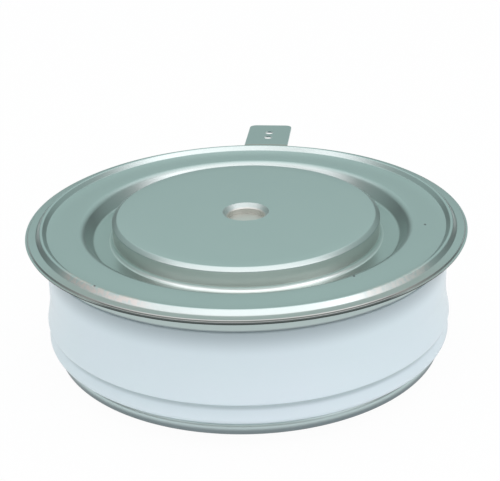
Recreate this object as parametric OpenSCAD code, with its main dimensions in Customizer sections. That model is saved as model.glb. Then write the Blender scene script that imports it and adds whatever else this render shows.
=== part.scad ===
// Press-pack disc thyristor: a silicon wafer between two copper pole pieces in a ceramic ring, closed
// by thin flanges. The stack axis is Z, the anode face lies on z = 0 and the gate lead leaves near +Y.

/* [Housing] */
// Diameter over the rim of the cathode lid
rim_d = 42; // [40.5:0.5:44]
// Height from the anode face to the cathode face
stack_h = 14.3; // [14:0.05:14.8]
// How far the cathode face stands above the rim
pole_rise = 0.8; // [0.7:0.05:1]
// Diameter of both copper pole pieces
pole_d = 25.6; // [25:0.1:25.8]
// Thickness of the cathode lid sheet
lid_t = 0.2; // [0.15:0.05:0.3]

/* [Cathode lid] */
// Depth of the groove round the pole piece
groove_depth = 1.35; // [1.2:0.05:1.4]
// Radius where the groove's slope meets its floor
groove_floor_r = 14.7; // [14.5:0.1:14.8]
// Radius where the groove's slope meets the flat ring
groove_edge_r = 15.6; // [15.5:0.1:15.7]
// Height of the bead beside the rim
bead_h = 0.42; // [0.3:0.02:0.5]
// Radius of the bead's middle line
bead_r = 19.5; // [19.3:0.05:19.55]
// Width of the bead at its foot
bead_w = 1.0; // [0.9:0.05:1.05]

/* [Ceramic] */
// Height of the ceramic ring
ceramic_h = 9.1; // [8.8:0.1:9.2]
// Radius of the ceramic's waist under the lid
waist_r = 19.1; // [18.9:0.05:19.2]
// Radius of the two skirts where they flare out
skirt_r = 19.65; // [19.4:0.05:19.8]
// Radius of the bore of the ceramic ring
ceramic_bore_r = 16.4; // [16.2:0.1:16.6]

/* [Terminals] */
// Width of both flat terminal tabs
tab_w = 4.75; // [4.5:0.05:5]
// Reach of the cathode tab beyond the rim
tab_reach = 6.4; // [6:0.1:8]
// Diameter of the two holes in each tab
tab_hole_d = 0.95; // [0.8:0.05:1.2]
// Distance between the two holes
tab_hole_pitch = 1.55; // [1.4:0.05:1.8]
// Distance from the outer hole to the tab's end
tab_hole_edge = 2.5; // [2:0.1:3]
// Turn of the cathode tab from +Y towards +X
cathode_tab_turn = 6.6; // [4:0.1:12]
// Turn of the gate lead from +Y towards -X
gate_turn = 20; // [18:1:28]

/* [Locating holes] */
// Bore of the locating hole in each pole face
locating_d = 3.6; // [3.5:0.05:3.7]
// Width of the countersunk mouth of the locating holes
locating_mouth_d = 4.45; // [4.2:0.05:4.6]
// Depth of the countersink
locating_mouth_h = 0.46; // [0.4:0.02:0.5]
// Depth of the locating holes
locating_depth = 0.95; // [0.9:0.05:1.2]

/* [Wafer stack] */
// Thickness of the anode side molybdenum disc
anode_moly_t = 1.5; // [1.3:0.1:1.6]
// Thickness of the cathode side molybdenum disc
cathode_moly_t = 0.5; // [0.4:0.05:0.6]
// Thickness of the silicon wafer
wafer_t = 0.5; // [0.35:0.05:0.55]
// Radius of the silicon wafer
wafer_r = 14.6; // [14.4:0.1:14.7]

/* [Gate spring] */
// Coils of the gate spring
spring_turns = 4; // [3:1:5]
// Wire thickness of the gate spring
spring_wire = 0.4; // [0.3:0.05:0.45]

/* [Hidden] */

$fn = 96;
// Steps along each rounded corner of an outline
corner_steps = 6;
// Steps along each long flare of the ceramic
flare_steps = 14;
// Steps round each wire
wire_steps = 16;
// Distance that a cutting shape runs past a face, and past a round wall
cut = 0.1;
reach = 1;
// Gap between parts that slide into each other, and the rounding of small parts' edges
play = 0.05;
small_round = 0.15;

rim_r = rim_d / 2;
rim_z = stack_h - pole_rise;
pole_r = pole_d / 2;
groove_z = rim_z - groove_depth;

// The hems of both sheets, brazed to the pole pieces, and the braze fillet in the lid's groove
hem_h = 0.8;
hem_t = 0.3;
// Offset of the underside's corners from the upper side's, along the groove's slope
sheet_shift = 0.1;
braze_h = 0.45;
braze_edge = 0.03;
rim_edge_round = lid_t * 0.45;
bead_foot_round = 0.12;
bead_top_round = 0.15;
// Half of the flat crown of the bead
bead_crown = bead_w * 0.13;
groove_edge_round = 0.8;
groove_floor_round = 0.3;
// The fine line that the rim weld leaves round the lid
weld_line_r = rim_r - 0.35;
weld_line_w = 0.24;
weld_line_depth = 0.07;
weld_line_round = 0.05;
// How far the tabs run into the parts that carry them
tab_root = 0.6;
tab_nose_round = 0.7;

// The weld flange: a thin lip under the rim, a neck and a foot on the ceramic
weld_t = 0.5;
weld_lip_t = 0.15;
weld_rim_r = rim_r - 0.05;
weld_rim_round = 0.05;
weld_neck_r = 19.3;
weld_foot_r = ceramic_bore_r + 0.3;

ceramic_top_z = rim_z - 1.95;
ceramic_z = ceramic_top_z - ceramic_h;
// The step between the two skirts, its undercut, and the place where each skirt starts to flare
step_z = ceramic_z + 2.15;
step_h = 0.32;
undercut_r = 19.2;
upper_flare_z = step_z + 2.25;
upper_flare_round = 9;
lower_flare_z = ceramic_z + 1.75;
lower_flare_round = 0.6;
skirt_foot_z = ceramic_z + 0.55;
skirt_edge_round = 0.22;
skirt_foot_round = 0.35;
ceramic_foot_r = 18.9;
ceramic_end_round = 0.2;

anode_sheet_t = 0.4;
anode_lip_r = 18.8;
anode_lip_h = 1.2;
anode_lip_top_round = 0.5;
anode_lip_edge_round = 0.25;
anode_lip_z = ceramic_z - anode_lip_h;
anode_groove_z = ceramic_z + 0.5;

// Rounded edge of each contact face
face_edge_w = 0.45;
face_edge_h = 0.28;
face_edge_round = 0.25;
shank_round = 0.08;
// Wider seat of the anode pole piece under the molybdenum disc
anode_seat_r = 13.6;
anode_seat_t = 0.9;

wafer_z = 6.9;
anode_moly_z = wafer_z - anode_moly_t;
cathode_moly_z = wafer_z + wafer_t;
cathode_seat_z = cathode_moly_z + cathode_moly_t;
anode_moly_r = 14.4;
cathode_moly_r = 12.4;
wafer_bevel = 0.7;
// How far the rubber reaches onto the wafer, past its rim and over and under its faces
rubber_in = 0.7;
rubber_out = 0.6;
rubber_over = 0.4;

// Gate parts, on the axis in a pocket under the cathode pole piece
pocket_r = 3.5;
pocket_h = 3.7;
gate_z = 8.65;
slot_w = 1.7;
cup_r = 3.4;
cup_wall = 0.7;
cup_z = cathode_seat_z + 0.15;
cup_top_z = cathode_seat_z + pocket_h;
cup_roof_t = 0.6;
bush_r = 2.15;
bush_bore_r = 1.0;
pin_tip_r = 0.95;
pin_flange_r = 1.5;
pin_flange_z = 8.05;
pin_flange_t = 0.35;
pin_stem_r = 0.5;
pin_top_z = 10.2;
wire_r = 0.25;
wire_end = 21.5;
washer_z = gate_z + wire_r;
washer_t = 0.2;
washer_r = 2.4;
spring_r = 1.75;
spring_sides = 8;
spring_rings = 14;

sleeve_r = 0.75;
sleeve_bore_r = 0.35;
sleeve_start = 3.6;
sleeve_end = 15.9;
ferrule_r = 0.95;
ferrule_bore_r = 0.5;
ferrule_end = 22;
collar_r = 1.4;
collar_t = 0.35;
collar_start = waist_r + play;

terminal_t = 0.5;
terminal_start = 20.2;
terminal_end = 28.4;
crimp_r = 1.3;
crimp_end = 22.6;

centring_r = ceramic_bore_r - play;
centring_gap = 0.1;
centring_round = 0.2;
centring_bore_r = wafer_r + 0.75;
centring_foot_r = groove_edge_r + 0.35;
centring_z = 4.2;
centring_lip_z = cathode_seat_z + 0.3;
centring_top_z = 9.9;

satin_nickel = [0.60, 0.67, 0.64];
worn_nickel = [0.56, 0.61, 0.59];
glaze_white = [0.88, 0.92, 0.94];
molybdenum_grey = [0.45, 0.46, 0.48];

// Unit vector along v
function unit(v) = v / norm(v);

// The arc that rounds corner b, between a and c, to radius r
function corner(a, b, c, r, steps) =
    let(
        to_a = unit(a - b),
        to_c = unit(c - b),
        half = acos(to_a * to_c) / 2,
        centre = b + unit(to_a + to_c) * r / sin(half),
        from = b + to_a * r / tan(half) - centre,
        to = b + to_c * r / tan(half) - centre,
        first = atan2(from.y, from.x),
        turn = atan2(from.x * to.y - from.y * to.x, from * to)
    )
    [for (i = [0:steps]) centre + r * [cos(first + turn * i / steps), sin(first + turn * i / steps)]];

// A closed outline from points [x, y, r, steps], each corner rounded to its r where r is over zero
function outline(points) = [
    for (i = [0:len(points) - 1])
        let(
            last = len(points) - 1,
            p = points[i],
            before = points[i == 0 ? last : i - 1],
            after = points[i == last ? 0 : i + 1],
            steps = p[3] == undef ? corner_steps : p[3]
        )
        each p[2] > 0
            ? corner([before.x, before.y], [p.x, p.y], [after.x, after.y], p[2], steps)
            : [[p.x, p.y]]
];

module ring(points) {
    rotate_extrude() polygon(outline(points));
}

// Turns its children from +Y to the gate lead's direction
module at_gate() {
    rotate([0, 0, gate_turn]) children();
}

// A bar of radius r along the gate lead, from radius a to radius b
module gate_bar(r, a, b, sides = 48) {
    at_gate() translate([0, a, gate_z]) rotate([-90, 0, 0]) cylinder(r = r, h = b - a, $fn = sides);
}

// A flat tab along +Y with rounded corners at its far end and two holes in line
module tab(start, end, thick) {
    linear_extrude(thick) difference() {
        polygon(outline([
            [-tab_w / 2, start, 0], [tab_w / 2, start, 0],
            [tab_w / 2, end, tab_nose_round], [-tab_w / 2, end, tab_nose_round]
        ]));
        for (i = [0, 1])
            translate([0, end - tab_hole_edge - i * tab_hole_pitch]) circle(d = tab_hole_d, $fn = 32);
    }
}

// Stamped sheet lid with its groove, bead and rim band, and the auxiliary cathode tab in one piece
module cathode_flange() {
    bead_in = bead_r - bead_w / 2;
    bead_out = bead_r + bead_w / 2;
    color(satin_nickel) union() {
        ring([
            [pole_r, groove_z - hem_h, 0],
            [pole_r, groove_z + braze_h, 0],
            [pole_r + braze_edge, groove_z + braze_h, 0],
            [pole_r + braze_edge, groove_z, braze_h - braze_edge],
            [groove_floor_r, groove_z, groove_floor_round],
            [groove_edge_r, rim_z, groove_edge_round],
            [bead_in, rim_z, bead_foot_round],
            [bead_r - bead_crown, rim_z + bead_h, bead_top_round],
            [bead_r + bead_crown, rim_z + bead_h, bead_top_round],
            [bead_out, rim_z, bead_foot_round],
            [weld_line_r - weld_line_w / 2, rim_z, 0],
            [weld_line_r, rim_z - weld_line_depth, weld_line_round],
            [weld_line_r + weld_line_w / 2, rim_z, 0],
            [rim_r, rim_z, rim_edge_round],
            [rim_r, rim_z - lid_t, rim_edge_round],
            [bead_out, rim_z - lid_t, bead_foot_round],
            [bead_r + bead_crown, rim_z + bead_h - lid_t, bead_top_round],
            [bead_r - bead_crown, rim_z + bead_h - lid_t, bead_top_round],
            [bead_in, rim_z - lid_t, bead_foot_round],
            [groove_edge_r + sheet_shift, rim_z - lid_t, groove_edge_round - lid_t],
            [groove_floor_r + sheet_shift, groove_z - lid_t, groove_floor_round + lid_t],
            [pole_r + lid_t, groove_z - lid_t, lid_t / 2],
            [pole_r + lid_t, groove_z - hem_h, 0]
        ]);
        rotate([0, 0, -cathode_tab_turn]) translate([0, 0, rim_z - lid_t])
            tab(rim_r - tab_root, rim_r + tab_reach, lid_t);
    }
}

// Turned outline of a pole piece's contact face, from its edge down to the shank
module contact_disc(depth) {
    ring([
        [0, 0, 0],
        [pole_r - face_edge_w, 0, face_edge_round],
        [pole_r, -face_edge_h, shank_round],
        [pole_r, -depth, 0],
        [0, -depth, 0]
    ]);
}

// Locating hole with a countersunk mouth, cut down from z = 0
module locating_hole() {
    flare = (locating_mouth_d - locating_d) / 2 / locating_mouth_h;
    translate([0, 0, -locating_depth]) cylinder(d = locating_d, h = locating_depth + cut);
    translate([0, 0, -locating_mouth_h])
        cylinder(
            d1 = locating_d, d2 = locating_mouth_d + 2 * flare * cut, h = locating_mouth_h + cut
        );
}

// Copper pole piece with its face outside and the gate pocket and lead slot inside
module cathode_pole() {
    depth = stack_h - cathode_seat_z;
    color(satin_nickel) difference() {
        translate([0, 0, stack_h]) contact_disc(depth);
        translate([0, 0, stack_h]) locating_hole();
        translate([0, 0, cathode_seat_z - cut]) cylinder(r = pocket_r, h = pocket_h + cut);
        at_gate() translate([-slot_w / 2, 0, cathode_seat_z - cut])
            cube([slot_w, pole_r + reach, gate_z + slot_w / 2 - cathode_seat_z + cut]);
    }
}

// Formed ring, brazed to the ceramic at its foot and welded to the lid at its rim
module weld_flange() {
    top = rim_z - lid_t;
    foot = ceramic_top_z;
    color(satin_nickel) ring([
        [weld_foot_r, foot, weld_t / 5],
        [weld_foot_r, foot + weld_t, weld_t / 5],
        [weld_neck_r - weld_t, foot + weld_t, weld_t / 2],
        [weld_neck_r - weld_t, top, weld_t],
        [weld_rim_r, top, weld_rim_round],
        [weld_rim_r, top - weld_lip_t, weld_rim_round],
        [weld_neck_r, top - weld_lip_t, weld_t],
        [weld_neck_r, foot, weld_t / 2]
    ]);
}

// Alumina ring with a waist and two flared skirts for a longer creepage path
module ceramic_ring() {
    color(glaze_white) difference() {
        ring([
            [ceramic_bore_r, ceramic_z, ceramic_end_round],
            [ceramic_bore_r, ceramic_top_z, ceramic_end_round],
            [waist_r, ceramic_top_z, ceramic_end_round],
            [waist_r, upper_flare_z, upper_flare_round, flare_steps],
            [skirt_r, step_z + step_h / 2, skirt_edge_round],
            [undercut_r, step_z - step_h / 2, skirt_edge_round / 2],
            [undercut_r, lower_flare_z, lower_flare_round],
            [skirt_r, skirt_foot_z, skirt_foot_round],
            [ceramic_foot_r, ceramic_z, skirt_edge_round / 2]
        ]);
        gate_bar(ferrule_r, ceramic_bore_r - reach, skirt_r + reach);
    }
}

// Formed ring under the ceramic, with a turned down lip outside and a hem on the pole piece inside
module anode_flange() {
    t = anode_sheet_t;
    color(worn_nickel) ring([
        [pole_r, anode_groove_z + t + hem_h, 0],
        [pole_r, anode_groove_z, 0],
        [groove_floor_r, anode_groove_z, t],
        [groove_edge_r, ceramic_z - t, t],
        [anode_lip_r - t, ceramic_z - t, t / 2],
        [anode_lip_r - t, anode_lip_z, t / 4],
        [anode_lip_r, anode_lip_z, anode_lip_edge_round],
        [anode_lip_r, ceramic_z, anode_lip_top_round],
        [groove_edge_r + sheet_shift, ceramic_z, t],
        [groove_floor_r + sheet_shift, anode_groove_z + t, t],
        [pole_r + hem_t, anode_groove_z + t, hem_t / 2],
        [pole_r + hem_t, anode_groove_z + t + hem_h, 0]
    ]);
}

// Copper base with its contact face down and a wider seat for the molybdenum disc
module anode_pole() {
    color(worn_nickel) difference() {
        union() {
            mirror([0, 0, 1]) contact_disc(anode_moly_z - anode_seat_t);
            translate([0, 0, anode_moly_z - anode_seat_t]) cylinder(r = anode_seat_r, h = anode_seat_t);
        }
        mirror([0, 0, 1]) locating_hole();
    }
}

module anode_molybdenum_disc() {
    color(molybdenum_grey) translate([0, 0, anode_moly_z]) cylinder(r = anode_moly_r, h = anode_moly_t);
}

// Wafer with its rim ground to a bevel
module silicon_wafer() {
    color([0.25, 0.28, 0.33]) ring([
        [0, wafer_z, 0],
        [wafer_r, wafer_z, 0],
        [wafer_r - wafer_bevel, wafer_z + wafer_t, 0],
        [0, wafer_z + wafer_t, 0]
    ]);
}

// Silicone rubber cast round the wafer's bevel
module edge_passivation() {
    inner_r = wafer_r - wafer_bevel - rubber_in;
    outer_r = wafer_r + rubber_out;
    top = wafer_z + wafer_t;
    low = wafer_z - rubber_over;
    color([0.75, 0.35, 0.30]) ring([
        [inner_r, top, 0],
        [inner_r, top + rubber_over, rubber_over / 2],
        [outer_r, top + rubber_over * 0.8, rubber_over],
        [outer_r, low, rubber_over / 2],
        [anode_moly_r, low, 0],
        [anode_moly_r, wafer_z, 0],
        [wafer_r, wafer_z, 0],
        [wafer_r - wafer_bevel, top, 0]
    ]);
}

module cathode_molybdenum_disc() {
    color(molybdenum_grey) translate([0, 0, cathode_moly_z]) difference() {
        cylinder(r = cathode_moly_r, h = cathode_moly_t);
        translate([0, 0, -cut]) cylinder(r = bush_r, h = cathode_moly_t + 2 * cut);
    }
}

// Plastic ring that stands on the anode flange and keeps the wafer and cathode pole piece on the axis
module centring_ring() {
    color([0.93, 0.93, 0.90]) difference() {
        ring([
            [centring_foot_r, ceramic_z, centring_gap],
            [centring_foot_r, centring_z, 0],
            [centring_bore_r, centring_z, centring_round],
            [centring_bore_r, centring_lip_z, 0],
            [pole_r + centring_gap, centring_lip_z, centring_round],
            [pole_r + centring_gap, centring_top_z, centring_round],
            [centring_r, centring_top_z, centring_round],
            [centring_r, ceramic_z, 0]
        ]);
        gate_bar(sleeve_r + centring_gap, pole_r - reach, centring_r + reach);
    }
}

// Insulating cup in the pocket, open downwards, with a slot for the lead
module gate_cup() {
    color([0.95, 0.95, 0.93]) difference() {
        translate([0, 0, cup_z]) cylinder(r = cup_r, h = cup_top_z - cup_z);
        translate([0, 0, cup_z - cut])
            cylinder(r = cup_r - cup_wall, h = cup_top_z - cup_roof_t - cup_z + cut);
        at_gate() translate([-slot_w / 2, 0, cup_z - cut])
            cube([slot_w, cup_r + reach, gate_z + slot_w / 2 - cup_z + cut]);
    }
}

// Ring of points round the spring's wire at turn angle a
function spring_section(a, rise, z) = [
    for (k = [0:spring_sides - 1])
        let(
            b = 360 * k / spring_sides,
            r = spring_r + spring_wire / 2 * cos(b)
        )
        [r * cos(a), r * sin(a), z + rise * a / 360 + spring_wire / 2 * sin(b)]
];

// Compression spring between the washer and the cup's roof
module gate_spring() {
    low = washer_z + washer_t + spring_wire / 2;
    high = cup_top_z - cup_roof_t - spring_wire / 2;
    rise = (high - low) / spring_turns;
    sections = spring_turns * spring_rings;
    points = [for (i = [0:sections]) each spring_section(360 * i / spring_rings, rise, low)];
    walls = [
        for (i = [0:sections - 1])
            for (k = [0:spring_sides - 1])
                let(
                    n = (k + 1) % spring_sides,
                    lower = i * spring_sides,
                    upper = lower + spring_sides
                )
                [lower + k, upper + k, upper + n, lower + n]
    ];
    first_cap = [for (k = [0:spring_sides - 1]) k];
    last_cap = [for (k = [spring_sides - 1:-1:0]) sections * spring_sides + k];
    color([0.70, 0.70, 0.66]) polyhedron(points, concat(walls, [first_cap, last_cap]));
}

module gate_washer() {
    color([0.72, 0.72, 0.70]) translate([0, 0, washer_z]) difference() {
        cylinder(r = washer_r, h = washer_t);
        translate([0, 0, -cut]) cylinder(r = pin_stem_r + play, h = washer_t + 2 * cut);
    }
}

// Turned pin whose tip presses on the gate area in the middle of the wafer
module gate_pin() {
    color([0.80, 0.78, 0.70]) ring([
        [0, cathode_moly_z, 0],
        [pin_tip_r - small_round, cathode_moly_z, 0],
        [pin_tip_r, cathode_moly_z + small_round, 0],
        [pin_tip_r, pin_flange_z, 0],
        [pin_flange_r, pin_flange_z, 0],
        [pin_flange_r, pin_flange_z + pin_flange_t, 0],
        [pin_stem_r, pin_flange_z + pin_flange_t, 0],
        [pin_stem_r, pin_top_z, small_round],
        [0, pin_top_z, 0]
    ]);
}

// Plastic bush that guides the pin's tip through the cathode side molybdenum disc
module gate_guide_bush() {
    bush_h = pin_flange_z - cathode_moly_z;
    color([0.92, 0.92, 0.90]) translate([0, 0, cathode_moly_z]) difference() {
        cylinder(r = bush_r, h = bush_h);
        translate([0, 0, -cut]) cylinder(r = bush_bore_r, h = bush_h + 2 * cut);
    }
}

// Silver wire with an eye round the pin, led out through the ferrule
module gate_wire() {
    eye_r = pin_stem_r + wire_r;
    color([0.80, 0.80, 0.78]) union() {
        translate([0, 0, gate_z]) rotate_extrude() translate([eye_r, 0]) circle(r = wire_r, $fn = wire_steps);
        gate_bar(wire_r, eye_r, wire_end, wire_steps);
    }
}

module gate_sleeve() {
    color([0.90, 0.90, 0.85]) difference() {
        gate_bar(sleeve_r, sleeve_start, sleeve_end);
        gate_bar(sleeve_bore_r, sleeve_start - cut, sleeve_end + cut);
    }
}

// Metal tube brazed into the ceramic wall, with a collar against its outside
module gate_ferrule() {
    color(satin_nickel) difference() {
        union() {
            gate_bar(ferrule_r, ceramic_bore_r, ferrule_end);
            gate_bar(collar_r, collar_start, collar_start + collar_t);
        }
        gate_bar(ferrule_bore_r, ceramic_bore_r - cut, ferrule_end + cut);
    }
}

// Flat gate tab whose barrel is crimped round the ferrule
module gate_terminal() {
    color(satin_nickel) difference() {
        union() {
            at_gate() translate([0, 0, gate_z - terminal_t / 2])
                tab(crimp_end - tab_root, terminal_end, terminal_t);
            gate_bar(crimp_r, terminal_start, crimp_end);
        }
        gate_bar(ferrule_r, terminal_start - cut, ferrule_end);
    }
}

cathode_flange();
cathode_pole();
weld_flange();
ceramic_ring();
anode_flange();
anode_pole();
anode_molybdenum_disc();
silicon_wafer();
edge_passivation();
cathode_molybdenum_disc();
centring_ring();
gate_cup();
gate_spring();
gate_washer();
gate_pin();
gate_guide_bush();
gate_wire();
gate_sleeve();
gate_ferrule();
gate_terminal();
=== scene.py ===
import math

import bmesh
import bpy
from mathutils import Matrix, Vector


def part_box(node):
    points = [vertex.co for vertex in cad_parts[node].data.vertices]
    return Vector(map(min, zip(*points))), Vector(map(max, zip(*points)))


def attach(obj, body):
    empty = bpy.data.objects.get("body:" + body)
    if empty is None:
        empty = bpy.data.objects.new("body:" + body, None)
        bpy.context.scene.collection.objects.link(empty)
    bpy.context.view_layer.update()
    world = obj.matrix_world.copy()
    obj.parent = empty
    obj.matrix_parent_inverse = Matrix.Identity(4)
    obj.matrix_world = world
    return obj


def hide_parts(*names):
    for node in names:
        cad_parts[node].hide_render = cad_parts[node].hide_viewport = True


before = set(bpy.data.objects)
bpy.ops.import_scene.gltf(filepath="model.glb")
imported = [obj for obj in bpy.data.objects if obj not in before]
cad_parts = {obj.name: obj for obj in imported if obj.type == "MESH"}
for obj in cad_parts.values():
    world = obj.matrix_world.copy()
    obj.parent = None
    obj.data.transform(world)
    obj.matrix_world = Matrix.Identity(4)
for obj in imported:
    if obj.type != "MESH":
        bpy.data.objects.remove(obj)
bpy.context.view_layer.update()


# The camera stands close in front of the disc and looks down on it at about 24 degrees. It is fitted to
# the rim, the pole piece and the locating hole as the photograph shows them. All lengths below are in
# metres, and mm turns a size in millimetres into them.
mm = 0.001
rim_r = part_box("cathode_flange")[1].x
rim_z = 13.5 * mm
stack_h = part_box("cathode_pole")[1].z

image_w = 500
focal_px = 1259.0
pitch = math.radians(24.26)
roll = math.radians(-1.6)
distance = 5.755 * rim_r
# Where the middle of the rim lies in the picture, in pixels right of and below its centre
middle_right_px = -4.0
middle_down_px = -21.4

back = Vector((0, -math.cos(pitch), math.sin(pitch)))
level = Vector((1, 0, 0))
upright = Vector((0, math.sin(pitch), math.cos(pitch)))
right = math.cos(roll) * level + math.sin(roll) * upright
up = math.cos(roll) * upright - math.sin(roll) * level
metres_per_px = distance / focal_px
lens = bpy.data.cameras.new("camera")
lens.sensor_width = 36
lens.lens = lens.sensor_width * focal_px / image_w
lens.clip_start = 5 * mm
camera = bpy.data.objects.new("camera", lens)
camera.matrix_world = Matrix((right, up, back)).transposed().to_4x4()
camera.location = Vector((0, 0, rim_z)) + distance * back
camera.location += metres_per_px * (middle_down_px * up - middle_right_px * right)
bpy.context.collection.objects.link(camera)
bpy.context.scene.camera = camera
bpy.context.scene.view_settings.view_transform = "Standard"


# The anode pole piece is a turned copper disc with a satin nickel plate. Its ground contact face carries
# the stack, and a countersunk blind hole in the middle takes the clamp's locating pin.
pole_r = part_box("cathode_pole")[1].x
locating_r = 1.8 * mm
locating_mouth_r = 2.225 * mm
locating_mouth_h = 0.46 * mm
locating_depth = 0.95 * mm
face_edge_w = 0.45 * mm
face_edge_h = 0.28 * mm
face_round = 0.25 * mm
shank_round = 0.08 * mm
# The plate is warmer on the side. It turns so between the first two depths below the face, and the third
# is the middle of the warm band.
side_from = 0.3 * mm
side_full = 0.42 * mm
side_middle_h = 4 * mm
# Marks in the materials fade out over about this width
soft_edge = 0.1 * mm
anode_seat_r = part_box("anode_pole")[1].x
anode_seat_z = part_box("anode_pole")[1].z
anode_seat_t = 0.9 * mm


def turned(name, corners, steps=256):
    """A piece spun about Z from its half section: corners are (radius, height, rounding[, arc steps])"""
    shape = bmesh.new()
    points = [shape.verts.new((corner[0], 0, corner[1])) for corner in corners]
    for i, point in enumerate(points):
        shape.edges.new((points[i - 1], point))
    for i, corner in enumerate(corners):
        if corner[2]:
            here = Vector(corner[:2])
            before = Vector(corners[i - 1][:2]) - here
            after = Vector(corners[(i + 1) % len(corners)][:2]) - here
            bmesh.ops.bevel(
                shape, geom=[points[i]], offset=corner[2] / math.tan(before.angle(after) / 2),
                offset_type="OFFSET", segments=corner[3] if len(corner) > 3 else 6, profile=0.5,
                affect="VERTICES", material=-1,
            )
    on_axis = [edge for edge in shape.edges if max(v.co.x for v in edge.verts) < 1e-7]
    bmesh.ops.delete(shape, geom=on_axis, context="EDGES")
    for edge in shape.edges[:]:
        cuts = int(edge.calc_length() / (1.3 * mm))
        if cuts:
            bmesh.ops.subdivide_edges(shape, edges=[edge], cuts=cuts)
    bmesh.ops.spin(
        shape, geom=shape.verts[:] + shape.edges[:], cent=(0, 0, 0), axis=(0, 0, 1),
        dvec=(0, 0, 0), angle=math.tau, steps=steps, use_merge=True,
    )
    bmesh.ops.remove_doubles(shape, verts=shape.verts, dist=1e-7)
    return placed(name, shape)


def placed(name, shape):
    """Turns a bmesh into an object"""
    bmesh.ops.recalc_face_normals(shape, faces=shape.faces)
    mesh = bpy.data.meshes.new(name)
    shape.to_mesh(mesh)
    shape.free()
    piece = bpy.data.objects.new(name, mesh)
    bpy.context.collection.objects.link(piece)
    return piece


def linear(red, green, blue):
    """A colour as it shows on the screen, from 0 to 255, as the shader's own values"""
    values = [channel / 255 for channel in (red, green, blue)]
    return [v / 12.92 if v <= 0.04045 else ((v + 0.055) / 1.055) ** 2.4 for v in values] + [1]


def grain_group():
    """Fine plating grain: a height for the bump, and a slow drift between 0 and 1 for the colour"""
    group = bpy.data.node_groups.new("plating grain", "ShaderNodeTree")
    group.interface.new_socket("Grain Scale", in_out="INPUT", socket_type="NodeSocketFloat")
    group.interface.new_socket("Drift Scale", in_out="INPUT", socket_type="NodeSocketFloat")
    group.interface.new_socket("Height", in_out="OUTPUT", socket_type="NodeSocketFloat")
    group.interface.new_socket("Drift", in_out="OUTPUT", socket_type="NodeSocketFloat")
    nodes, links = group.nodes, group.links
    inside = nodes.new("NodeGroupInput")
    outside = nodes.new("NodeGroupOutput")
    place = nodes.new("ShaderNodeTexCoord")
    fine = nodes.new("ShaderNodeTexNoise")
    fine.inputs["Detail"].default_value = 3
    slow = nodes.new("ShaderNodeTexNoise")
    slow.inputs["Detail"].default_value = 4
    for texture, scale, value in ((fine, "Grain Scale", "Height"), (slow, "Drift Scale", "Drift")):
        links.new(place.outputs["Object"], texture.inputs["Vector"])
        links.new(inside.outputs[scale], texture.inputs["Scale"])
        links.new(texture.outputs["Fac"], outside.inputs[value])
    return group


grain = grain_group()


def ranged(nodes, links, value, low, high, start, end, course="LINEAR"):
    """Carries a value from the range low to high over to the range start to end"""
    carried = nodes.new("ShaderNodeMapRange")
    carried.interpolation_type = course
    carried.inputs["From Min"].default_value = low
    carried.inputs["From Max"].default_value = high
    carried.inputs["To Min"].default_value = start
    carried.inputs["To Max"].default_value = end
    links.new(value, carried.inputs["Value"])
    return carried.outputs["Result"]


def finish(name, colour, other, rough, rough_other, metallic=1, grain_scale=16000, bump=0.15):
    """A material whose colour and roughness drift slowly between two values, with a fine grain"""
    material = bpy.data.materials.new(name)
    material.use_nodes = True
    nodes, links = material.node_tree.nodes, material.node_tree.links
    shader = nodes["Principled BSDF"]
    shader.inputs["Metallic"].default_value = metallic
    texture = nodes.new("ShaderNodeGroup")
    texture.name = "grain"
    texture.node_tree = grain
    texture.inputs["Grain Scale"].default_value = grain_scale
    texture.inputs["Drift Scale"].default_value = 160
    blend = nodes.new("ShaderNodeMix")
    blend.name = "plate"
    blend.data_type = "RGBA"
    blend.inputs[6].default_value = linear(*colour)
    blend.inputs[7].default_value = linear(*other)
    links.new(texture.outputs["Drift"], blend.inputs[0])
    links.new(blend.outputs[2], shader.inputs["Base Color"])
    sheen = ranged(nodes, links, texture.outputs["Drift"], 0, 1, rough, rough_other)
    sheen.node.name = "sheen"
    links.new(sheen, shader.inputs["Roughness"])
    relief = nodes.new("ShaderNodeBump")
    relief.name = "relief"
    relief.inputs["Strength"].default_value = bump
    relief.inputs["Distance"].default_value = 0.01 * mm
    links.new(texture.outputs["Height"], relief.inputs["Height"])
    links.new(relief.outputs["Normal"], shader.inputs["Normal"])
    return material


def spot_group():
    """A mask that is 1 within Near of the point Middle and falls to 0 at Far, measured along Axes"""
    group = bpy.data.node_groups.new("spot", "ShaderNodeTree")
    group.interface.new_socket("Middle", in_out="INPUT", socket_type="NodeSocketVector")
    group.interface.new_socket("Axes", in_out="INPUT", socket_type="NodeSocketVector")
    group.interface.new_socket("Near", in_out="INPUT", socket_type="NodeSocketFloat")
    group.interface.new_socket("Far", in_out="INPUT", socket_type="NodeSocketFloat")
    group.interface.new_socket("Mask", in_out="OUTPUT", socket_type="NodeSocketFloat")
    nodes, links = group.nodes, group.links
    inside = nodes.new("NodeGroupInput")
    outside = nodes.new("NodeGroupOutput")
    place = nodes.new("ShaderNodeTexCoord")
    offset = nodes.new("ShaderNodeVectorMath")
    offset.operation = "SUBTRACT"
    links.new(place.outputs["Object"], offset.inputs[0])
    links.new(inside.outputs["Middle"], offset.inputs[1])
    along = nodes.new("ShaderNodeVectorMath")
    along.operation = "MULTIPLY"
    links.new(offset.outputs[0], along.inputs[0])
    links.new(inside.outputs["Axes"], along.inputs[1])
    length = nodes.new("ShaderNodeVectorMath")
    length.operation = "LENGTH"
    links.new(along.outputs[0], length.inputs[0])
    fall = nodes.new("ShaderNodeMapRange")
    fall.interpolation_type = "SMOOTHSTEP"
    fall.inputs["To Min"].default_value = 1
    fall.inputs["To Max"].default_value = 0
    links.new(length.outputs["Value"], fall.inputs["Value"])
    links.new(inside.outputs["Near"], fall.inputs["From Min"])
    links.new(inside.outputs["Far"], fall.inputs["From Max"])
    links.new(fall.outputs["Result"], outside.inputs["Mask"])
    return group


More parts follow.
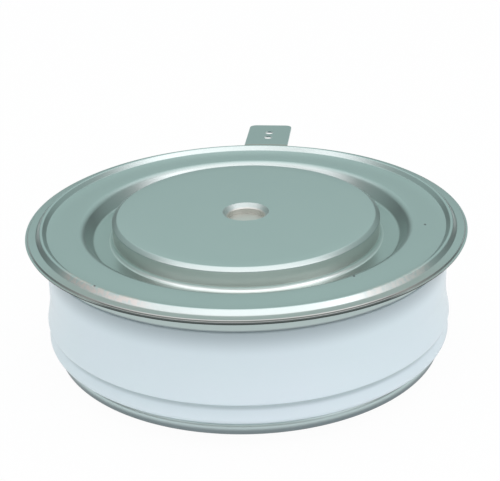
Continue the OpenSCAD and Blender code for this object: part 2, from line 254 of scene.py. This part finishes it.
spot = spot_group()


def spot_mask(nodes, middle, near, far, axes=(1, 1, 1)):
    """A spot: 1 within near of the point middle, 0 beyond far"""
    mask = nodes.new("ShaderNodeGroup")
    mask.node_tree = spot
    mask.inputs["Middle"].default_value = middle
    mask.inputs["Axes"].default_value = axes
    mask.inputs["Near"].default_value = near
    mask.inputs["Far"].default_value = far
    return mask.outputs["Mask"]


def tinted(nodes, links, mask, under, colour):
    """The colour under it, changed to colour where the mask is 1"""
    blend = nodes.new("ShaderNodeMix")
    blend.data_type = "RGBA"
    links.new(mask, blend.inputs[0])
    links.new(under, blend.inputs[6])
    blend.inputs[7].default_value = linear(*colour)
    return blend.outputs[2]


def raised(nodes, links, mask, under, value):
    """The value under it, changed to value where the mask is 1"""
    blend = nodes.new("ShaderNodeMix")
    links.new(mask, blend.inputs[0])
    links.new(under, blend.inputs[2])
    blend.inputs[3].default_value = value
    return blend.outputs[0]


def product(nodes, links, first, second):
    """The product of two values, of which the second may be a plain number"""
    times = nodes.new("ShaderNodeMath")
    times.operation = "MULTIPLY"
    links.new(first, times.inputs[0])
    if isinstance(second, float):
        times.inputs[1].default_value = second
    else:
        links.new(second, times.inputs[1])
    return times.outputs[0]


def contact_metal(name, face_z, middle_z):
    """Satin plate, thinner and warmer on the side below the face, with a drilled, duller locating hole"""
    material = finish(name, (192, 204, 201), (196, 207, 204), 0.27, 0.33)
    nodes, links = material.node_tree.nodes, material.node_tree.links
    shader = nodes["Principled BSDF"]
    high = abs(middle_z - face_z)
    side = spot_mask(nodes, (0, 0, middle_z), high - side_full, high - side_from, (0, 0, 1))
    colour = tinted(nodes, links, side, nodes["plate"].outputs[2], (209, 211, 206))
    hole = spot_mask(nodes, (0, 0, face_z), locating_r, locating_r + soft_edge, (1, 1, 0))
    colour = tinted(nodes, links, hole, colour, (208, 210, 204))
    links.new(colour, shader.inputs["Base Color"])
    mouth_end = locating_mouth_r + soft_edge / 2
    mouth = spot_mask(nodes, (0, 0, face_z), locating_mouth_r, mouth_end, (1, 1, 0))
    rough = raised(nodes, links, mouth, nodes["sheen"].outputs["Result"], 0.5)
    links.new(rough, shader.inputs["Roughness"])
    rings = nodes.new("ShaderNodeTexWave")
    rings.wave_type = "RINGS"
    rings.rings_direction = "Z"
    rings.inputs["Scale"].default_value = 900
    rings.inputs["Distortion"].default_value = 0.6
    place = nodes.new("ShaderNodeTexCoord")
    links.new(place.outputs["Object"], rings.inputs["Vector"])
    turning = nodes.new("ShaderNodeBump")
    turning.inputs["Strength"].default_value = 0.35
    turning.inputs["Distance"].default_value = 0.01 * mm
    links.new(product(nodes, links, hole, rings.outputs["Fac"]), turning.inputs["Height"])
    links.new(nodes["relief"].outputs["Normal"], turning.inputs["Normal"])
    links.new(turning.outputs["Normal"], shader.inputs["Normal"])
    return material


def dress(piece, material, slot, *nodes):
    """Gives a piece its shading and material, and puts it in place of its nodes"""
    piece.data.shade_smooth()
    piece.data.set_sharp_from_angle(angle=math.radians(35))
    flat = piece.modifiers.new("flat faces stay flat", "WEIGHTED_NORMAL")
    flat.keep_sharp = True
    flat.weight = 100
    piece.data.materials.clear()
    piece.data.materials.append(material)
    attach(piece, "root")
    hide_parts(*nodes)


anode_contact = turned("anode_contact", [
    (0, locating_depth, 0),
    (locating_r, locating_depth, 0),
    (locating_r, locating_mouth_h, 0),
    (locating_mouth_r, 0, 0),
    (pole_r - face_edge_w, 0, face_round),
    (pole_r, face_edge_h, shank_round),
    (pole_r, anode_seat_z - anode_seat_t, 0),
    (anode_seat_r, anode_seat_z - anode_seat_t, 0),
    (anode_seat_r, anode_seat_z, 0),
    (0, anode_seat_z, 0),
])
anode_plate = contact_metal("anode contact plate", 0, side_middle_h)
dress(anode_contact, anode_plate, "satin_nickel", "anode_pole")


# The anode flange is a thin ring pressed from sheet. It is brazed to the pole piece inside and to the
# ceramic above, and its outer lip is turned down.
ceramic_low, ceramic_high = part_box("ceramic_ring")
ceramic_z = ceramic_low.z
anode_sheet_t = 0.4 * mm
hem_h = 0.8 * mm
hem_t = 0.3 * mm
sheet_shift = 0.1 * mm
anode_lip_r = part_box("anode_flange")[1].x
anode_lip_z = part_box("anode_flange")[0].z
anode_groove_z = ceramic_z + 0.5 * mm
lip_tip_round = 0.25 * mm
lip_bend_round = 0.5 * mm
groove_floor_r = 14.7 * mm
groove_edge_r = 15.6 * mm
# Painted shade: the lip is darker up to the first height above its edge, where it mirrors the shadowed
# floor, and keeps its plain colour from the second one on
lip_shade_full_h = 0.35 * mm
lip_shade_end_h = 0.85 * mm

anode_ring = turned("anode_ring", [
    (pole_r, anode_groove_z + anode_sheet_t + hem_h, 0),
    (pole_r, anode_groove_z, 0),
    (groove_floor_r, anode_groove_z, anode_sheet_t),
    (groove_edge_r, ceramic_z - anode_sheet_t, anode_sheet_t),
    (anode_lip_r - anode_sheet_t, ceramic_z - anode_sheet_t, anode_sheet_t / 2),
    (anode_lip_r - anode_sheet_t, anode_lip_z, anode_sheet_t / 4),
    (anode_lip_r, anode_lip_z, lip_tip_round),
    (anode_lip_r, ceramic_z, lip_bend_round),
    (groove_edge_r + sheet_shift, ceramic_z, anode_sheet_t),
    (groove_floor_r + sheet_shift, anode_groove_z + anode_sheet_t, anode_sheet_t),
    (pole_r + hem_t, anode_groove_z + anode_sheet_t, hem_t / 2),
    (pole_r + hem_t, anode_groove_z + anode_sheet_t + hem_h, 0),
])


def lip_metal():
    """Nickel iron sheet, with painted shade darkening the lip towards its lower edge"""
    material = finish("nickel iron with painted shade on the lip", (194, 211, 210), (198, 215, 213), 0.28, 0.36)
    nodes, links = material.node_tree.nodes, material.node_tree.links
    # Painted shade towards the lip's lower edge
    low = spot_mask(nodes, (0, 0, anode_lip_z), lip_shade_full_h, lip_shade_end_h, (0, 0, 1))
    colour = tinted(nodes, links, low, nodes["plate"].outputs[2], (130, 142, 144))
    links.new(colour, nodes["Principled BSDF"].inputs["Base Color"])
    return material


dress(anode_ring, lip_metal(), "satin_nickel", "anode_flange")


# The housing is a pressed and fired alumina ring with a bluish white glaze. It has a waist under the
# lid and two flared skirts, which lengthen the way over its surface. A hole takes the gate lead.
ceramic_bore_r = 16.4 * mm
waist_r = 19.2 * mm
skirt_r = ceramic_high.x
undercut_r = 19.2 * mm
ceramic_foot_r = 18.9 * mm
ceramic_top_z = ceramic_high.z
step_z = ceramic_z + 2.15 * mm
step_h = 0.32 * mm
skirt_round = 0.22 * mm
waist_low_z = step_z + 2.25 * mm
waist_round = 9 * mm
undercut_z = ceramic_z + 1.75 * mm
undercut_round = 0.6 * mm
low_skirt_z = ceramic_z + 0.55 * mm
low_skirt_round = 0.35 * mm
bore_round = 0.2 * mm
# How far down from the top the glaze gets painted shade from the lid's rim, and the painted shade in the
# crease under the upper skirt
rim_shade_h = 2.4 * mm
crease_h = 0.5 * mm
crease_r = skirt_r - 0.08 * mm
gate_turn = math.radians(-20)
gate_wire_r = 0.25 * mm
gate_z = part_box("gate_wire")[0].z + gate_wire_r
ferrule_r = 0.95 * mm
# Lays a piece made about Z along the gate lead
along_gate = (
    Matrix.Translation((0, 0, gate_z)) @ Matrix.Rotation(-gate_turn, 4, "Z")
    @ Matrix.Rotation(math.radians(-90), 4, "X")
)

housing = turned("ceramic_housing", [
    (ceramic_bore_r, ceramic_z, bore_round),
    (ceramic_bore_r, ceramic_top_z, bore_round),
    (waist_r, ceramic_top_z, bore_round),
    (waist_r, waist_low_z, waist_round, 14),
    (skirt_r, step_z + step_h / 2, skirt_round),
    (undercut_r, step_z - step_h / 2, skirt_round / 2),
    (undercut_r, undercut_z, undercut_round),
    (skirt_r, low_skirt_z, low_skirt_round),
    (ceramic_foot_r, ceramic_z, skirt_round / 2),
])


def joined(piece, other, operation):
    """Adds or cuts the solid other, and removes it"""
    change = piece.modifiers.new(operation, "BOOLEAN")
    change.operation = operation
    change.solver = "EXACT"
    change.object = other
    whole = bpy.data.meshes.new_from_object(piece.evaluated_get(bpy.context.evaluated_depsgraph_get()))
    piece.modifiers.clear()
    piece.data = whole
    bpy.data.objects.remove(other)


def punch(radius, start, end, place, sides=48):
    """A round cutter about Z from start to end, laid by the matrix place"""
    shape = bmesh.new()
    bmesh.ops.create_cone(
        shape, cap_ends=True, segments=sides, radius1=radius, radius2=radius, depth=end - start,
        matrix=place @ Matrix.Translation((0, 0, (start + end) / 2)),
    )
    return placed("punch", shape)


joined(housing, punch(ferrule_r, ceramic_bore_r - mm, skirt_r + mm, along_gate), "DIFFERENCE")


def glaze():
    """Bluish white glaze, greyer with painted shade towards the upper end under the rim and in the crease
    under the skirt
    """
    material = finish(
        "glazed alumina", (226, 245, 248), (229, 243, 250), 0.35, 0.4, metallic=0, grain_scale=900, bump=0.4)
    nodes, links = material.node_tree.nodes, material.node_tree.links
    shader = nodes["Principled BSDF"]
    # Painted shade: greyer towards the upper end, under the lid's rim
    upper = spot_mask(nodes, (0, 0, ceramic_top_z), 0, rim_shade_h, (0, 0, 1))
    colour = tinted(nodes, links, upper, nodes["plate"].outputs[2], (183, 199, 204))
    # Painted shade: darker in the crease under the upper skirt
    crease = spot_mask(nodes, (0, 0, step_z - step_h / 2), soft_edge, crease_h, (0, 0, 1))
    crease_in = spot_mask(nodes, (0, 0, 0), undercut_r + soft_edge, crease_r, (1, 1, 0))
    colour = tinted(nodes, links, product(nodes, links, crease, crease_in), colour, (196, 214, 218))
    links.new(colour, shader.inputs["Base Color"])
    shader.inputs["Coat Weight"].default_value = 0.5
    shader.inputs["Coat Roughness"].default_value = 0.12
    return material


dress(housing, glaze(), "ceramic", "ceramic_ring")


# The molybdenum disc on the anode side carries the wafer and takes up the copper's expansion. It is ground
# flat on both faces.
def clad(node, material):
    """Gives a hidden piece of the CAD model its material"""
    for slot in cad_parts[node].material_slots:
        slot.material = material


molybdenum = finish("ground molybdenum", (150, 152, 156), (160, 162, 166), 0.38, 0.46, bump=0.2)
clad("anode_molybdenum_disc", molybdenum)


# The silicon wafer is the thyristor itself, polished and bevelled at its edge. The bevel is sealed with a
# bead of red silicone rubber.
clad("silicon_wafer", finish("polished silicon", (118, 124, 136), (124, 130, 141), 0.08, 0.14, bump=0.02))
rubber = finish("silicone rubber", (168, 84, 64), (176, 92, 70), 0.5, 0.6, metallic=0, grain_scale=2500)
clad("edge_passivation", rubber)


# The cathode side has a thinner molybdenum disc with a hole for the gate pin. A turned plastic ring keeps
# wafer and discs on the axis.
clad("cathode_molybdenum_disc", molybdenum)
insulator = finish("turned plastic", (236, 235, 228), (240, 239, 233), 0.42, 0.5, 0, grain_scale=5000)
clad("centring_ring", insulator)


# The gate contact sits in the cathode pole piece. In an insulating cup a spring presses on a washer and
# the silver pin, and a bush guides the pin.
spring_steel = finish("spring steel", (148, 146, 140), (156, 154, 148), 0.25, 0.35, bump=0.1)
silver = finish("drawn silver", (214, 211, 204), (220, 217, 211), 0.2, 0.3, bump=0.1)
clad("gate_cup", insulator)
clad("gate_spring", spring_steel)
clad("gate_washer", spring_steel)
clad("gate_pin", silver)
clad("gate_guide_bush", insulator)


# The gate lead is a silver wire in an insulating sleeve. It runs from the pin through a slot in the pole
# piece and on into the ferrule in the ceramic wall.
clad("gate_wire", silver)
clad("gate_sleeve", insulator)


# The weld flange is a formed ring between ceramic and lid: a foot brazed to the ceramic, a short neck and
# a thin lip under the rim. The weld that closes the cell runs round the edge of lip and lid.
weld_t = 0.5 * mm
weld_lip_t = 0.15 * mm
lid_t = 0.2 * mm
weld_top_z = rim_z - lid_t
weld_rim_r = rim_r - 0.05 * mm
weld_rim_round = 0.05 * mm
weld_neck_r = 19.3 * mm
weld_foot_r = ceramic_bore_r + 0.3 * mm
# The lip beside the weld, painted dark as painted shade under the lid's rim, and the braze joint at the
# ceramic, darkened further by painted shade, with how far each reaches round from the front
weld_shade_w = 0.3 * mm
weld_shade_reach = 26 * mm
braze_foot_shade_h = 0.22 * mm
braze_foot_shade_reach = 16 * mm

weld_ring = turned("weld_ring", [
    (weld_foot_r, ceramic_top_z, weld_t / 5),
    (weld_foot_r, ceramic_top_z + weld_t, weld_t / 5),
    (weld_neck_r - weld_t, ceramic_top_z + weld_t, weld_t / 2),
    (weld_neck_r - weld_t, weld_top_z, weld_t),
    (weld_rim_r, weld_top_z, weld_rim_round),
    (weld_rim_r, weld_top_z - weld_lip_t, weld_rim_round),
    (weld_neck_r, weld_top_z - weld_lip_t, weld_t),
    (weld_neck_r, ceramic_top_z, weld_t / 2),
])


def inverse(nodes, links, mask):
    """1 where the mask is 0, and 0 where it is 1"""
    rest = nodes.new("ShaderNodeMath")
    rest.operation = "SUBTRACT"
    rest.inputs[0].default_value = 1
    links.new(mask, rest.inputs[1])
    return rest.outputs[0]


def stain_and_shade(material, inner_r, low_z, high_z, middle_y, reach, colour):
    """Tints a flange outside a radius, between two heights and within reach of a point on its rim, for real
    stains and for painted shade
    """
    nodes, links = material.node_tree.nodes, material.node_tree.links
    shader = nodes["Principled BSDF"]
    inside = spot_mask(nodes, (0, 0, 0), inner_r - soft_edge / 2, inner_r, (1, 1, 0))
    within = spot_mask(nodes, (0, 0, 0), rim_r, rim_r + soft_edge, (1, 1, 0))
    band = product(nodes, links, inverse(nodes, links, inside), within)
    near = spot_mask(nodes, (0, middle_y, 0), reach * 0.8, reach, (1, 1, 0))
    half = (high_z - low_z) / 2
    between = spot_mask(nodes, (0, 0, low_z + half), half, half + soft_edge / 10, (0, 0, 1))
    mark = product(nodes, links, product(nodes, links, band, near), between)
    under = shader.inputs["Base Color"].links[0].from_socket
    links.new(tinted(nodes, links, mark, under, colour), shader.inputs["Base Color"])
    under = shader.inputs["Roughness"].links[0].from_socket
    links.new(raised(nodes, links, mark, under, 0.5), shader.inputs["Roughness"])


def nickel_iron(name):
    """Bare sheet of nickel iron alloy"""
    return finish(name, (175, 190, 187), (181, 195, 192), 0.28, 0.36)


neck_alloy = nickel_iron("nickel iron with painted shade under the rim")
weld_shade_r = rim_r - weld_shade_w
weld_low_z = weld_top_z - weld_lip_t
# Painted shade: the lip under the lid's rim is dark where the rim shades it
stain_and_shade(neck_alloy, weld_shade_r, weld_low_z, weld_top_z, -rim_r, weld_shade_reach, (76, 84, 82))
braze_foot_shade_z = ceramic_top_z + braze_foot_shade_h
# The braze joint at the ceramic, darkened as painted shade under the rim as well
stain_and_shade(neck_alloy, weld_foot_r, ceramic_top_z, braze_foot_shade_z, -rim_r, braze_foot_shade_reach, (160, 172, 173))
dress(weld_ring, neck_alloy, "satin_nickel", "weld_flange")


# The cathode pole piece is turned as the anode's is. Its hidden end has a pocket for the gate parts and
# a slot for their lead.
cathode_seat_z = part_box("cathode_pole")[0].z
pocket_r = 3.5 * mm
pocket_h = 3.7 * mm
slot_w = 1.7 * mm
cathode_contact = turned("cathode_contact", [
    (0, stack_h - locating_depth, 0),
    (locating_r, stack_h - locating_depth, 0),
    (locating_r, stack_h - locating_mouth_h, 0),
    (locating_mouth_r, stack_h, 0),
    (pole_r - face_edge_w, stack_h, face_round),
    (pole_r, stack_h - face_edge_h, shank_round),
    (pole_r, cathode_seat_z, 0),
    (pocket_r, cathode_seat_z, 0),
    (pocket_r, cathode_seat_z + pocket_h, 0),
    (0, cathode_seat_z + pocket_h, 0),
])
slot_low = cathode_seat_z - mm
slot_high = gate_z + slot_w / 2
slot_cutter = bmesh.new()
bmesh.ops.create_cube(
    slot_cutter, size=1,
    matrix=Matrix.Rotation(-gate_turn, 4, "Z") @ Matrix.Translation(
        (0, pole_r / 2 + mm, (slot_low + slot_high) / 2))
    @ Matrix.Diagonal((slot_w, pole_r, slot_high - slot_low, 1)),
)
joined(cathode_contact, placed("slot_cutter", slot_cutter), "DIFFERENCE")
cathode_plate = contact_metal("cathode contact plate", stack_h, stack_h - side_middle_h)
dress(cathode_contact, cathode_plate, "satin_nickel", "cathode_pole")


# The lid is one stamping: a hem on the pole piece, a groove, a flat ring, a bead and the rim band, with
# the auxiliary cathode tab left on it.
groove_z = rim_z - 1.35 * mm
groove_edge_round = 0.8 * mm
groove_floor_round = 0.3 * mm
braze_h = 0.45 * mm
braze_edge = 0.03 * mm
bead_h = 0.42 * mm
bead_r = 19.5 * mm
bead_w = 1.0 * mm
bead_in = bead_r - bead_w / 2
bead_out = bead_r + bead_w / 2
bead_crown = bead_w * 0.13
bead_foot_round = 0.12 * mm
bead_top_round = 0.15 * mm
# The welding tool has pressed a small step into the lid's edge
step_r = rim_r - 0.28 * mm
step_low_z = rim_z - 0.16 * mm
step_round = 0.06 * mm
step_lean = 0.1 * mm
edge_round = 0.02 * mm

lid = turned("cathode_lid", [
    (pole_r, groove_z - hem_h, 0),
    (pole_r, groove_z + braze_h, 0),
    (pole_r + braze_edge, groove_z + braze_h, 0),
    (pole_r + braze_edge, groove_z, braze_h - braze_edge),
    (groove_floor_r, groove_z, groove_floor_round),
    (groove_edge_r, rim_z, groove_edge_round, 10),
    (bead_in, rim_z, bead_foot_round),
    (bead_r - bead_crown, rim_z + bead_h, bead_top_round),
    (bead_r + bead_crown, rim_z + bead_h, bead_top_round),
    (bead_out, rim_z, bead_foot_round),
    (step_r, rim_z, step_round),
    (step_r + step_lean, step_low_z, edge_round),
    (rim_r, step_low_z, edge_round),
    (rim_r, rim_z - lid_t, 0),
    (bead_out, rim_z - lid_t, bead_foot_round),
    (bead_r + bead_crown, rim_z + bead_h - lid_t, bead_top_round),
    (bead_r - bead_crown, rim_z + bead_h - lid_t, bead_top_round),
    (bead_in, rim_z - lid_t, bead_foot_round),
    (groove_edge_r + sheet_shift, rim_z - lid_t, groove_edge_round - lid_t),
    (groove_floor_r + sheet_shift, groove_z - lid_t, groove_floor_round + lid_t),
    (pole_r + lid_t, groove_z - lid_t, lid_t / 2),
    (pole_r + lid_t, groove_z - hem_h, 0),
])

tab_w = 4.75 * mm
tab_reach = 6.4 * mm
tab_nose = 0.7 * mm
tab_hole_r = 0.475 * mm
tab_first_hole = 2.5 * mm
tab_hole_pitch = 1.55 * mm
tab_turn = math.radians(6.6)
tab_root = 0.6 * mm


def blade(name, start, end, top, thick, turn):
    """A flat tab from radius start to end, cut from sheet, turned from +Y towards +X"""
    shape = bmesh.new()
    half = tab_w / 2
    corners = [shape.verts.new((x, y, top - thick)) for x, y in (
        (-half, start), (half, start), (half, end), (-half, end))]
    shape.faces.new(corners)
    bmesh.ops.bevel(
        shape, geom=corners[2:], offset=tab_nose, offset_type="OFFSET", segments=6, profile=0.5,
        affect="VERTICES", material=-1,
    )
    lifted = bmesh.ops.extrude_face_region(shape, geom=shape.faces[:])
    top_verts = [v for v in lifted["geom"] if isinstance(v, bmesh.types.BMVert)]
    bmesh.ops.translate(shape, verts=top_verts, vec=(0, 0, thick))
    strip = placed(name, shape)
    for hole_at in (end - tab_first_hole, end - tab_first_hole - tab_hole_pitch):
        place = Matrix.Translation((0, hole_at, top))
        joined(strip, punch(tab_hole_r, -2 * thick, thick, place, 40), "DIFFERENCE")
    strip.data.transform(Matrix.Rotation(-turn, 4, "Z"))
    return strip


side_tab = blade("side_tab", rim_r - tab_root, rim_r + tab_reach, rim_z, lid_t, tab_turn)
joined(lid, side_tab, "UNION")

# Worn patches on the bead: where each lies, how far it reaches, and its colour
worn_patches = (
    ((-12.7 * mm, -15.1 * mm, rim_z), 6.5 * mm, (211, 207, 201)),
    ((12.9 * mm, -14.9 * mm, rim_z), 5.5 * mm, (208, 212, 207)),
)
# Small dark specks: their dark core, their whole size and their places on the lid
speck_core_r = 0.05 * mm
speck_r = 0.16 * mm
speck_places = ((9.23 * mm, -13.11 * mm), (16.85 * mm, -2.48 * mm), (-13.03 * mm, -14.44 * mm))
# How far the other marks reach round from the front or the back of the rim: the handling, the painted shade
# in the pressed step and under it, and the duller back edge
handled_reach = 24 * mm
step_shade_reach = 15 * mm
back_edge_reach = 26 * mm
# How far out from the axis the braze is painted bright as a painted highlight, and how it fades there
braze_highlight_r = pole_r + braze_h - braze_edge
braze_highlight_fade = 0.12 * mm


def satin_plate(name):
    """Satin nickel plate"""
    return finish(name, (186, 198, 195), (190, 202, 199), 0.27, 0.33)


def lid_metal():
    """Satin plate with what use has left on it, painted highlights on the bead and the braze, and painted
    shade in the groove, the pressed step and under it
    """
    material = satin_plate("satin nickel lid")
    nodes, links = material.node_tree.nodes, material.node_tree.links
    shader = nodes["Principled BSDF"]
    rough = nodes["sheen"].outputs["Result"]
    # The bead is painted lighter all round as a painted highlight, and rougher in the two worn patches
    bead_light_paint = spot_mask(nodes, (0, 0, rim_z + bead_h), bead_h * 0.9, bead_h, (0, 0, 1))
    colour = tinted(nodes, links, bead_light_paint, nodes["plate"].outputs[2], (193, 206, 203))
    inside_bead = spot_mask(nodes, (0, 0, 0), bead_in - soft_edge, bead_in + soft_edge, (1, 1, 0))
    within_bead = spot_mask(nodes, (0, 0, 0), bead_out - soft_edge, bead_out + soft_edge, (1, 1, 0))
    bead = product(nodes, links, inverse(nodes, links, inside_bead), within_bead)
    speckle = nodes.new("ShaderNodeTexNoise")
    speckle.inputs["Scale"].default_value = 2400
    speckle.inputs["Detail"].default_value = 3
    place = nodes.new("ShaderNodeTexCoord")
    links.new(place.outputs["Object"], speckle.inputs["Vector"])
    rubbed = ranged(nodes, links, speckle.outputs["Fac"], 0.36, 0.56, 0, 1)
    for middle, reach, tint in worn_patches:
        worn = product(nodes, links, spot_mask(nodes, middle, reach / 2, reach), bead)
        colour = tinted(nodes, links, product(nodes, links, worn, rubbed), colour, tint)
        rough = raised(nodes, links, worn, rough, 0.42)
    # The front of the rim is greyer from handling, and the groove's floor is a little darker, a painted
    # shade in the groove
    front = spot_mask(nodes, (0, -rim_r, 0), handled_reach * 2 / 3, handled_reach, (1, 1, 0))
    handled = product(nodes, links, inverse(nodes, links, within_bead), front)
    colour = tinted(nodes, links, handled, colour, (184, 187, 183))
    low = spot_mask(nodes, (0, 0, groove_z), soft_edge / 5, soft_edge, (0, 0, 1))
    colour = tinted(nodes, links, low, colour, (177, 190, 186))
    # The braze that fills the corner at the pole piece is painted bright, a painted highlight
    braze = spot_mask(nodes, (0, 0, 0), braze_highlight_r - braze_highlight_fade, braze_highlight_r, (1, 1, 0))
    colour = tinted(nodes, links, braze, colour, (214, 224, 220))
    for x, y in speck_places:
        speck = spot_mask(nodes, (x, y, rim_z), speck_core_r, speck_r, (1, 0.6, 0))
        colour = tinted(nodes, links, product(nodes, links, speck, 0.75), colour, (70, 72, 76))
        rough = raised(nodes, links, speck, rough, 0.6)
    links.new(colour, shader.inputs["Base Color"])
    links.new(rough, shader.inputs["Roughness"])
    # Painted shade in the pressed step and under it, and a rim edge that is duller at the back
    step_in = step_r - step_round
    edge_shade_r = rim_r - soft_edge
    low_z = step_low_z + edge_round
    stain_and_shade(material, step_in, low_z, rim_z - step_round, -rim_r, step_shade_reach, (118, 124, 121))
    edge_shade_z = step_low_z + edge_round / 2
    stain_and_shade(material, edge_shade_r, rim_z - lid_t, edge_shade_z, -rim_r, step_shade_reach, (100, 106, 104))
    stain_and_shade(material, step_r, rim_z - lid_t, rim_z, rim_r, back_edge_reach, (184, 182, 174))
    return material


dress(lid, lid_metal(), "satin_nickel", "cathode_flange")


# The gate lead leaves through a nickel iron ferrule, brazed into the ceramic wall against a collar. A
# flat tab is crimped on its end by a barrel.
ferrule_bore_r = 0.5 * mm
ferrule_end = 22 * mm
collar_r = 1.4 * mm
collar_start = 19.15 * mm
collar_t = 0.35 * mm
terminal_t = 0.5 * mm
terminal_start = 20.2 * mm
terminal_end = 28.4 * mm
crimp_r = 1.3 * mm
crimp_end = 22.6 * mm

ferrule = turned("gate_lead_ferrule", [
    (ferrule_bore_r, ceramic_bore_r, 0),
    (ferrule_r, ceramic_bore_r, 0),
    (ferrule_r, collar_start, 0),
    (collar_r, collar_start, 0.05 * mm),
    (collar_r, collar_start + collar_t, 0.1 * mm),
    (ferrule_r, collar_start + collar_t, 0.08 * mm),
    (ferrule_r, ferrule_end, 0.08 * mm),
    (ferrule_bore_r, ferrule_end, 0),
], steps=64)
ferrule.data.transform(along_gate)
dress(ferrule, nickel_iron("nickel iron tube"), "satin_nickel", "gate_ferrule")

crimp = turned("gate_tab", [
    (ferrule_r, terminal_start, 0.05 * mm),
    (crimp_r, terminal_start, 0.12 * mm),
    (crimp_r, crimp_end, 0.3 * mm),
    (0, crimp_end, 0),
    (0, ferrule_end, 0),
    (ferrule_r, ferrule_end, 0),
], steps=64)
crimp.data.transform(along_gate)
gate_blade = blade(
    "gate_blade", crimp_end - tab_root, terminal_end, gate_z + terminal_t / 2, terminal_t, gate_turn)
joined(crimp, gate_blade, "UNION")
dress(crimp, satin_plate("satin nickel"), "satin_nickel", "gate_terminal")


# Floor and light. The floor is a pale board. Three soft lights hang over the disc from front to back,
# with a smaller one on each side of them, and two low ones stand in front of it on the left and the
# right. The room's walls are dark near the floor, dimmer at the sides and cooler towards the back.
def show_white(nodes, links, seen, mirrored):
    """The share of white that a camera ray meets, and the one for rays mirrored or bent on their way"""
    ray = nodes.new("ShaderNodeLightPath")
    direct = product(nodes, links, ray.outputs["Is Camera Ray"], seen)
    indirect = nodes.new("ShaderNodeMath")
    indirect.operation = "MAXIMUM"
    links.new(ray.outputs["Is Glossy Ray"], indirect.inputs[0])
    links.new(ray.outputs["Is Transmission Ray"], indirect.inputs[1])
    share = nodes.new("ShaderNodeMath")
    share.operation = "MAXIMUM"
    links.new(direct, share.inputs[0])
    links.new(product(nodes, links, indirect.outputs[0], mirrored), share.inputs[1])
    return share.outputs[0]


def floor_material():
    """A pale matt board, which shows nearly white to the camera, with a trace of the disc's shadow"""
    material = bpy.data.materials.new("pale floor")
    material.use_nodes = True
    nodes, links = material.node_tree.nodes, material.node_tree.links
    shader = nodes["Principled BSDF"]
    shader.inputs["Base Color"].default_value = linear(241, 242, 243)
    shader.inputs["Roughness"].default_value = 0.9
    shader.inputs["Specular IOR Level"].default_value = 0
    glow = nodes.new("ShaderNodeEmission")
    blend = nodes.new("ShaderNodeMixShader")
    links.new(show_white(nodes, links, 0.965, 0.45), blend.inputs[0])
    links.new(shader.outputs[0], blend.inputs[1])
    links.new(glow.outputs[0], blend.inputs[2])
    links.new(blend.outputs[0], nodes["Material Output"].inputs["Surface"])
    return material


floor_shape = bmesh.new()
bmesh.ops.create_grid(floor_shape, x_segments=8, y_segments=8, size=2)
floor_mesh = bpy.data.meshes.new("floor")
floor_shape.to_mesh(floor_mesh)
floor_shape.free()
floor = bpy.data.objects.new("floor", floor_mesh)
bpy.context.collection.objects.link(floor)
floor_mesh.materials.append(floor_material())


def softbox(name, place, width, height, strength):
    """A soft light that faces the disc, as bright all over as a white of the given strength"""
    light = bpy.data.lights.new(name, "AREA")
    light.shape = "RECTANGLE"
    light.size = width
    light.size_y = height
    light.energy = math.pi * width * height * strength
    light.color = (1, 0.93, 0.98)
    lamp = bpy.data.objects.new(name, light)
    lamp.location = place
    lamp.rotation_euler = Vector(place).to_track_quat("Z", "Y").to_euler()
    bpy.context.collection.objects.link(lamp)


softbox("front light", (0.05, -0.235, 0.441), 0.8, 0.2, 1.1)
softbox("top light", (0, 0.02, 0.5), 0.6, 0.3, 0.82)
softbox("back light", (0, 0.25, 0.43), 0.6, 0.2, 0.46)
softbox("left wing", (-0.38, -0.08, 0.44), 0.26, 0.28, 1.05)
softbox("right wing", (0.38, -0.07, 0.44), 0.26, 0.28, 0.95)
softbox("left light", (-0.33, -0.27, 0.26), 0.3, 0.3, 0.42)
softbox("right light", (0.33, -0.27, 0.26), 0.3, 0.3, 0.85)

front_walls = (1.13, 1.12, 1.12, 1)
back_walls = (0.77, 1, 0.98, 1)
world = bpy.data.worlds.new("studio")
bpy.context.scene.world = world
world.use_nodes = True
nodes, links = world.node_tree.nodes, world.node_tree.links
walls = nodes["Background"]
direction = nodes.new("ShaderNodeTexCoord")
parts = nodes.new("ShaderNodeSeparateXYZ")
links.new(direction.outputs["Generated"], parts.inputs[0])
upwards = ranged(nodes, links, parts.outputs["Z"], 0.1, 0.42, 0.14, 0.7, "SMOOTHSTEP")
sideways = nodes.new("ShaderNodeMath")
sideways.operation = "ABSOLUTE"
links.new(parts.outputs["X"], sideways.inputs[0])
dimmed = ranged(nodes, links, sideways.outputs[0], 0.2, 0.7, 1, 0.56)
links.new(product(nodes, links, upwards, dimmed), walls.inputs["Strength"])
wall_colour = nodes.new("ShaderNodeMix")
wall_colour.data_type = "RGBA"
wall_colour.inputs[6].default_value = front_walls
wall_colour.inputs[7].default_value = back_walls
backwards = ranged(nodes, links, parts.outputs["Y"], -0.2, 0.5, 0, 1, "SMOOTHSTEP")
links.new(backwards, wall_colour.inputs[0])
links.new(wall_colour.outputs[2], walls.inputs["Color"])
pale = nodes.new("ShaderNodeBackground")
pale.inputs["Color"].default_value = (1, 1, 1, 1)
blend = nodes.new("ShaderNodeMixShader")
links.new(show_white(nodes, links, 1.0, 0.06), blend.inputs[0])
links.new(walls.outputs[0], blend.inputs[1])
links.new(pale.outputs[0], blend.inputs[2])
links.new(blend.outputs[0], nodes["World Output"].inputs["Surface"])
